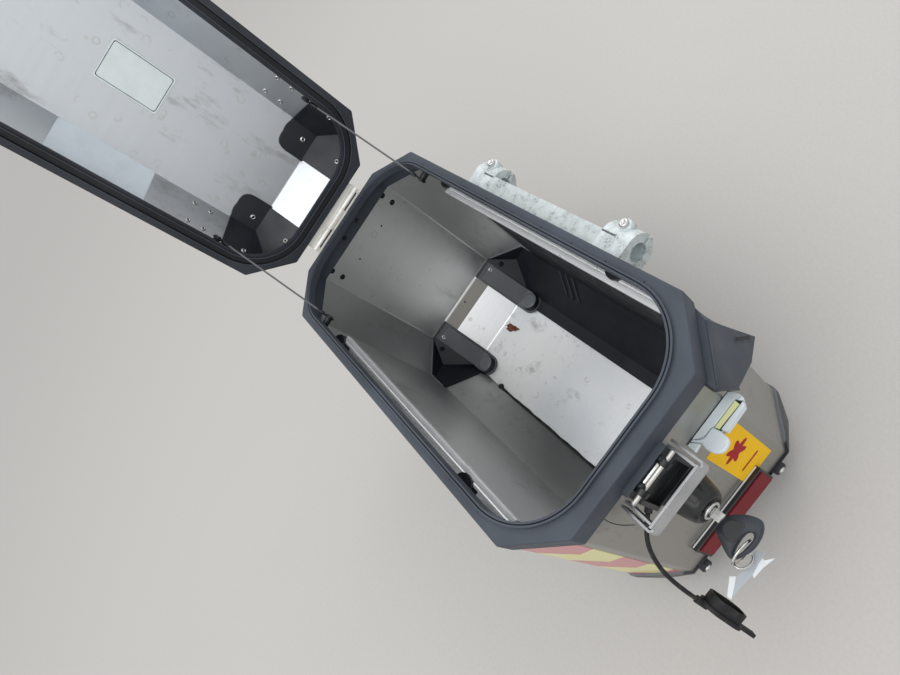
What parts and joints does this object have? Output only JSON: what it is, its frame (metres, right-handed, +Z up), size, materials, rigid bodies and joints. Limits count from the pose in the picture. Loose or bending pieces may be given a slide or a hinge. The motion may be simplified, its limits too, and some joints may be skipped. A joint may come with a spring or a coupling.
{
  "type": "motorcycle pannier",
  "caption": "Aluminium side case for a motorcycle, octagonal in plan, with moulded corners, an open hinged lid, a bail latch, a key lock and clamps for a rack tube.",
  "frame": {"origin": "axis of the rack tube, midway between the two clamps", "axes": "+X to the rear of the vehicle along the rack tube, +Y towards the vehicle, +Z up"},
  "size_m": [0.7077, 0.2639, 0.777],
  "materials": {
    "corner_rear_inner": "moulded",
    "corner_rear_outer": "moulded",
    "corner_front_inner": "moulded",
    "corner_front_outer": "moulded",
    "back_panel": "moulded",
    "floor_plate": "bright sheet",
    "case_shell": "satin sheet",
    "collar": "moulded",
    "rail_clip_inner_front": "moulded",
    "rail_clip_inner_rear": "moulded",
    "tie_rail_inner": "anodised",
    "rail_clip_outer_front": "moulded",
    "rail_clip_outer_rear": "moulded",
    "tie_rail_outer": "anodised",
    "lid_corner_rear_outer": "moulded",
    "lid_corner_rear_inner": "moulded",
    "lid_corner_front_outer": "moulded",
    "lid_corner_front_inner": "moulded",
    "lid_shell": "satin sheet",
    "lid_frame": "moulded",
    "lid_seal": "soft",
    "lanyard_inner": "stranded wire in a sleeve",
    "lanyard_outer": "stranded wire in a sleeve",
    "lanyard_stud_case_inner": "moulded",
    "lanyard_stud_case_outer": "moulded",
    "lanyard_stud_lid_inner": "moulded",
    "lanyard_stud_lid_outer": "moulded",
    "hinge_leaf_case": "plain",
    "hinge_leaf_lid": "plain",
    "hinge_pin": "plain",
    "latch_base": "moulded",
    "latch_bail": "zinc plated",
    "latch_pin": "plain",
    "lid_catch": "zinc plated",
    "cap_tether": "soft",
    "keyhole_cap": "soft",
    "lock_housing": "moulded",
    "lock_barrel": "bright",
    "key_blade": "bright",
    "key_head": "moulded",
    "key_ring": "bright",
    "key_tag": "pale film",
    "release_lever": "cast, painted",
    "corner_cover": "moulded",
    "reflector_holder": "moulded",
    "reflector_lens": "prismatic",
    "rack_clamp_front": "cast, mottled",
    "rack_clamp_rear": "cast, mottled",
    "mount_bar": "cast, mottled"
  },
  "bodies": {
    "case": {"corner_rear_inner": "corner_rear_inner", "corner_rear_outer": "corner_rear_outer", "corner_front_inner": "corner_front_inner", "corner_front_outer": "corner_front_outer", "back_panel": "back_panel", "floor_plate": "floor_plate", "case_shell": "case_shell", "collar": "collar", "rail_clip_inner_front": "rail_clip_inner_front", "rail_clip_inner_rear": "rail_clip_inner_rear", "tie_rail_inner": "tie_rail_inner", "rail_clip_outer_front": "rail_clip_outer_front", "rail_clip_outer_rear": "rail_clip_outer_rear", "tie_rail_outer": "tie_rail_outer", "lanyard_inner": "lanyard_inner", "lanyard_outer": "lanyard_outer", "lanyard_stud_case_inner": "lanyard_stud_case_inner", "lanyard_stud_case_outer": "lanyard_stud_case_outer", "hinge_leaf_case": "hinge_leaf_case", "hinge_pin": "hinge_pin", "latch_base": "latch_base", "cap_tether": "cap_tether", "keyhole_cap": "keyhole_cap", "lock_housing": "lock_housing", "lock_barrel": "lock_barrel", "key_blade": "key_blade", "key_head": "key_head", "key_ring": "key_ring", "key_tag": "key_tag", "release_lever": "release_lever", "corner_cover": "corner_cover", "reflector_holder": "reflector_holder", "reflector_lens": "reflector_lens", "rack_clamp_front": "rack_clamp_front", "rack_clamp_rear": "rack_clamp_rear", "mount_bar": "mount_bar"},
    "lid": {"lid_corner_rear_outer": "lid_corner_rear_outer", "lid_corner_rear_inner": "lid_corner_rear_inner", "lid_corner_front_outer": "lid_corner_front_outer", "lid_corner_front_inner": "lid_corner_front_inner", "lid_shell": "lid_shell", "lid_frame": "lid_frame", "lid_seal": "lid_seal", "lanyard_stud_lid_inner": "lanyard_stud_lid_inner", "lanyard_stud_lid_outer": "lanyard_stud_lid_outer", "hinge_leaf_lid": "hinge_leaf_lid", "lid_catch": "lid_catch"},
    "bail": {"latch_bail": "latch_bail", "latch_pin": "latch_pin"}
  },
  "joints": [
    {"name": "lid_hinge", "type": "hinge", "parent": "case", "child": "lid", "pos_m": [-0.2555, -0.132, 0.04], "axis": [0, 1, 0], "range_deg": [0, 98.4], "deforming": ["lanyard_inner", "lanyard_outer"]},
    {"name": "latch_pivot", "type": "hinge", "parent": "case", "child": "bail", "pos_m": [0.245, -0.1355, 0.0185], "axis": [0, -1, 0], "range_deg": [0, 76]}
  ]
}
